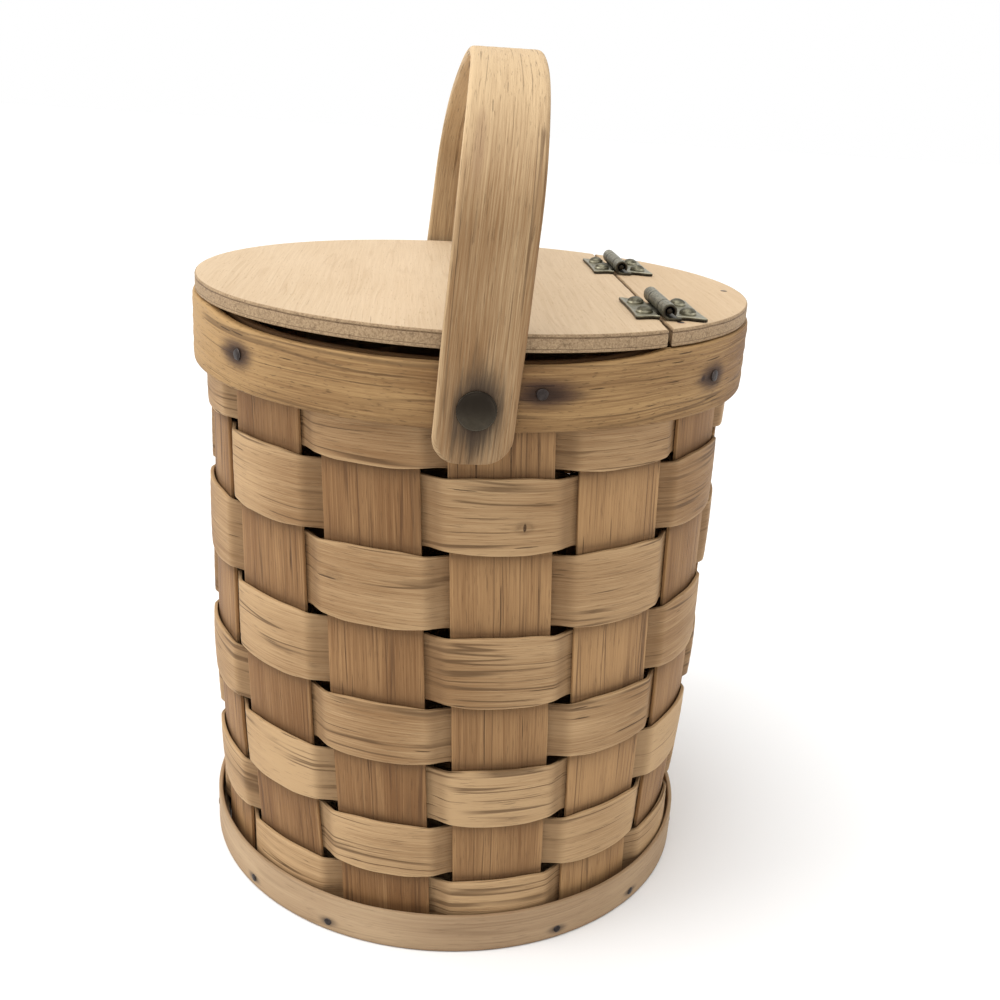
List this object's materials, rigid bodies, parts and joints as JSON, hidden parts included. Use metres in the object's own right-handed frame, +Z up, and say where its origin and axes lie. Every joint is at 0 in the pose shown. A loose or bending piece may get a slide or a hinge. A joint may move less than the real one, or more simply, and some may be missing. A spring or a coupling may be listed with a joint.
{
  "type": "pie basket",
  "caption": "Round woven splint basket with straight sides, a two-part hinged plywood lid and a swinging bentwood handle over the top.",
  "frame": {"origin": "centre of the foot's lower edge, on the surface that the basket stands on", "axes": "+Z up, -Y towards the front leg of the handle, +X towards the fixed part of the lid; the handle's pivot line is turned 2.5 degrees from Y about Z and the lid's hinge line 1.65 degrees"},
  "size_m": [0.2313, 0.2438, 0.348],
  "materials": {
    "upright_splint": "bare split wood, light brown, rough",
    "weaver_splint": "bare split wood, pale tan, satin grain along the splint",
    "band_wood": "bare bent wood with iron stains round the tacks",
    "lid_plywood": "sanded plywood with visible ply lines on its edge",
    "base_wood": "bare board",
    "handle_wood": "steam-bent wood, satin, darker round the rivets",
    "antique_bronze": "dark antique bronze, worn brighter on the domes",
    "iron_tack": "dark rusted iron"
  },
  "bodies": {
    "basket": {"base_disc": "base_wood", "fixed_nail_1": "antique_bronze", "fixed_nail_2": "antique_bronze", "fixed_nail_3": "antique_bronze", "fixed_nail_4": "antique_bronze", "foot_band": "band_wood", "hinge_leaf_fixed_back": "antique_bronze", "hinge_leaf_fixed_front": "antique_bronze", "hinge_pin_back": "antique_bronze", "hinge_pin_front": "antique_bronze", "lid_brad_1": "iron_tack", "lid_brad_2": "iron_tack", "lid_brad_3": "iron_tack", "lid_fixed": "lid_plywood", "rim_band_inner": "band_wood", "rim_band_outer": "band_wood", "rim_tack_1": "iron_tack", "rim_tack_2": "iron_tack", "rim_tack_3": "iron_tack", "rim_tack_4": "iron_tack", "rim_tack_5": "iron_tack", "rim_tack_6": "iron_tack", "rim_tack_7": "iron_tack", "rivet_back": "antique_bronze", "rivet_front": "antique_bronze", "rivet_washer_back": "antique_bronze", "rivet_washer_front": "antique_bronze", "upright_01": "upright_splint", "upright_02": "upright_splint", "upright_03": "upright_splint", "upright_04": "upright_splint", "upright_05": "upright_splint", "upright_06": "upright_splint", "upright_07": "upright_splint", "upright_08": "upright_splint", "upright_09": "upright_splint", "upright_10": "upright_splint", "upright_11": "upright_splint", "upright_12": "upright_splint", "upright_13": "upright_splint", "upright_14": "upright_splint", "weaver_1": "weaver_splint", "weaver_2": "weaver_splint", "weaver_3": "weaver_splint", "weaver_4": "weaver_splint", "weaver_5": "weaver_splint", "weaver_6": "weaver_splint", "weaver_7": "weaver_splint", "weaver_8": "weaver_splint"},
    "flap": {"flap_nail_1": "antique_bronze", "flap_nail_2": "antique_bronze", "flap_nail_3": "antique_bronze", "flap_nail_4": "antique_bronze", "hinge_leaf_flap_back": "antique_bronze", "hinge_leaf_flap_front": "antique_bronze", "lid_flap": "lid_plywood"},
    "handle": {"handle": "handle_wood"}
  },
  "joints": [
    {"name": "flap_open", "type": "hinge", "parent": "basket", "child": "flap", "pos_m": [0.06747, 0.00194, 0.2606], "axis": [-0.0288, 0.9996, 0], "range_deg": [0, 28]},
    {"name": "handle_swing", "type": "hinge", "parent": "basket", "child": "handle", "pos_m": [-0.00514, -0.00022, 0.2318], "axis": [-0.0436, 0.999, 0], "range_deg": [-10, 60]}
  ]
}
